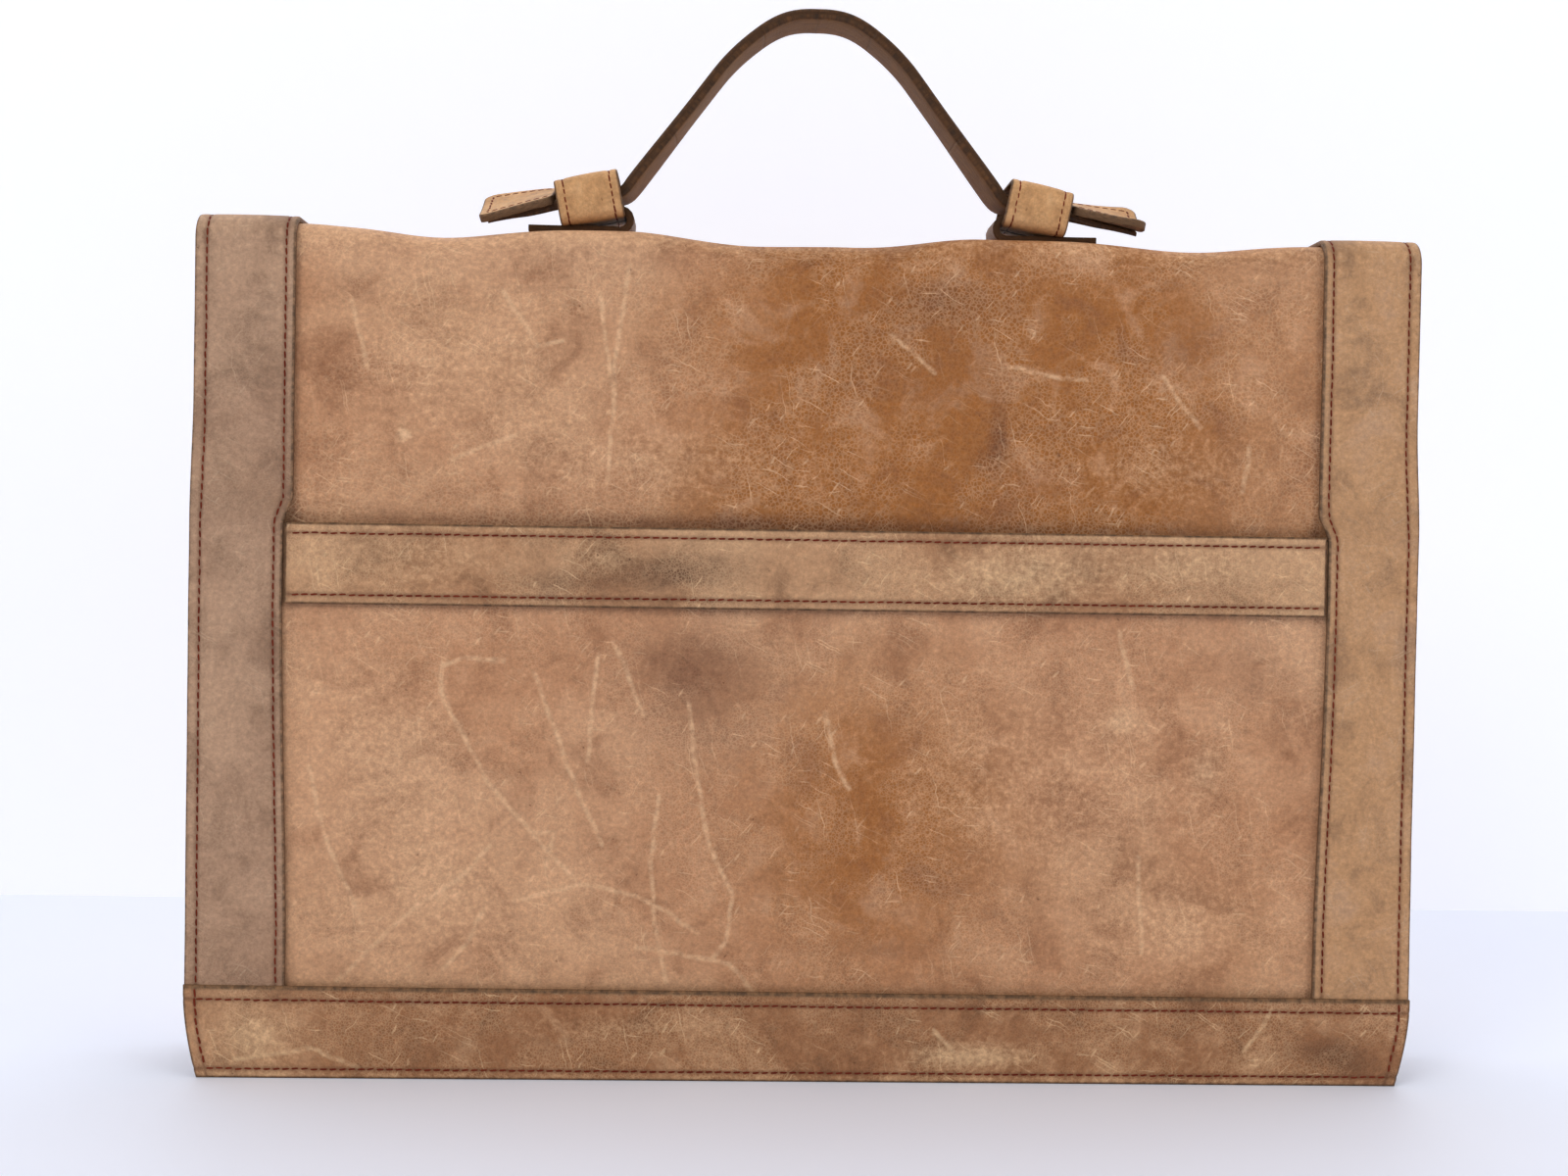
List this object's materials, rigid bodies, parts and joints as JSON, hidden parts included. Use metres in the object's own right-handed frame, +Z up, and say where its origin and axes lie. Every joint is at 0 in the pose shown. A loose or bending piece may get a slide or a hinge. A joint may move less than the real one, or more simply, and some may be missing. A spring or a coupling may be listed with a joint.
{
  "type": "leather briefcase",
  "caption": "Flap-over leather briefcase with a slip pocket on the back, folding gussets, a press lock and a sliding strap handle with stop tabs.",
  "frame": {"origin": "on the ground under the middle of the whole object", "axes": "+Z up, +X to the right when facing the slip-pocket side, the slip-pocket side faces -Y, the flap and its lock face +Y"},
  "size_m": [0.41, 0.0574, 0.3611],
  "materials": {
    "panel_leather": "worn tan leather with grain, scuffs and dark handling patches",
    "strip_leather": "duller grey-brown tan leather with red-brown stitching",
    "band_leather": "tan leather trim, darkened by handling",
    "gusset_leather": "soft tan leather, creased at its folds",
    "cuff_leather": "light tan leather, polished by use",
    "strap_leather": "dark brown strap leather, shiny where it is held",
    "brass": "aged brass, rubbed bright on its edges"
  },
  "bodies": {
    "case_back": {"back_panel": "panel_leather", "pocket_panel": "panel_leather", "pocket_band": "band_leather", "back_bottom_band": "band_leather", "back_strip_left": "strip_leather", "back_strip_right": "strip_leather", "gusset_left": "gusset_leather", "gusset_right": "gusset_leather", "gusset_bottom": "gusset_leather"},
    "top": {"top_panel": "panel_leather", "top_strip_left": "strip_leather", "top_strip_right": "strip_leather", "handle_anchor_left": "strap_leather", "handle_anchor_right": "strap_leather", "handle_cuff_left": "cuff_leather", "handle_cuff_right": "cuff_leather"},
    "flap": {"flap_panel": "panel_leather", "flap_band": "band_leather", "flap_strip_left": "strip_leather", "flap_strip_right": "strip_leather", "hasp_plate": "brass", "hasp_rivet_left": "brass", "hasp_rivet_right": "brass"},
    "front": {"front_panel": "panel_leather", "front_bottom_band": "band_leather", "lock_case": "brass", "lock_backing": "brass", "lock_screw_left": "brass", "lock_screw_right": "brass"},
    "button": {"lock_button": "brass"},
    "crown": {"strap_crown": "strap_leather"},
    "shoulder_left": {"strap_shoulder_left": "strap_leather"},
    "shoulder_right": {"strap_shoulder_right": "strap_leather"},
    "leg_left": {"strap_leg_left": "strap_leather"},
    "leg_right": {"strap_leg_right": "strap_leather"},
    "foot_left": {"strap_foot_left": "strap_leather", "stop_tab_left": "cuff_leather"},
    "foot_right": {"strap_foot_right": "strap_leather", "stop_tab_right": "cuff_leather"}
  },
  "joints": [
    {"name": "top_lift", "type": "hinge", "parent": "case_back", "child": "top", "pos_m": [0, -0.0252, 0.277], "axis": [1, 0, 0], "range_deg": [0, 110]},
    {"name": "flap_lift", "type": "hinge", "parent": "top", "child": "flap", "pos_m": [0, 0.0229, 0.277], "axis": [1, 0, 0], "range_deg": [0, 95]},
    {"name": "front_press", "type": "slide", "parent": "case_back", "child": "front", "axis": [0, -1, 0], "range_m": [0, 0.018], "deforming": ["gusset_left", "gusset_right", "gusset_bottom"]},
    {"name": "button_press", "type": "slide", "parent": "front", "child": "button", "axis": [0, -1, 0], "range_m": [0, 0.0012]},
    {"name": "handle_drop", "type": "slide", "parent": "top", "child": "crown", "axis": [0, 0, -1], "range_m": [0, 0.05085], "deforming": ["strap_leg_left", "strap_leg_right"]},
    {"name": "shoulder_left_bend", "type": "hinge", "parent": "crown", "child": "shoulder_left", "pos_m": [-0.01004, -0.00115, 0.3575], "axis": [0, 1, 0], "range_deg": [0, 29.7]},
    {"name": "leg_left_bend", "type": "hinge", "parent": "shoulder_left", "child": "leg_left", "pos_m": [-0.02656, -0.00115, 0.34608], "axis": [0, 1, 0], "range_deg": [0, 13.85]},
    {"name": "foot_left_bend", "type": "hinge", "parent": "leg_left", "child": "foot_left", "pos_m": [-0.06379, -0.00115, 0.29933], "axis": [0, -1, 0], "range_deg": [0, 43.55]},
    {"name": "shoulder_right_bend", "type": "hinge", "parent": "crown", "child": "shoulder_right", "pos_m": [0.01004, -0.00115, 0.3575], "axis": [0, -1, 0], "range_deg": [0, 29.7]},
    {"name": "leg_right_bend", "type": "hinge", "parent": "shoulder_right", "child": "leg_right", "pos_m": [0.02656, -0.00115, 0.34608], "axis": [0, -1, 0], "range_deg": [0, 13.85]},
    {"name": "foot_right_bend", "type": "hinge", "parent": "leg_right", "child": "foot_right", "pos_m": [0.06379, -0.00115, 0.29933], "axis": [0, 1, 0], "range_deg": [0, 43.55]}
  ],
  "couplings": [
    {"joint": "shoulder_left_bend", "follows": "handle_drop", "rad_per_m": 10.188},
    {"joint": "leg_left_bend", "follows": "handle_drop", "rad_per_m": 4.7509},
    {"joint": "foot_left_bend", "follows": "handle_drop", "rad_per_m": 14.939},
    {"joint": "shoulder_right_bend", "follows": "handle_drop", "rad_per_m": 10.188},
    {"joint": "leg_right_bend", "follows": "handle_drop", "rad_per_m": 4.7509},
    {"joint": "foot_right_bend", "follows": "handle_drop", "rad_per_m": 14.939}
  ]
}
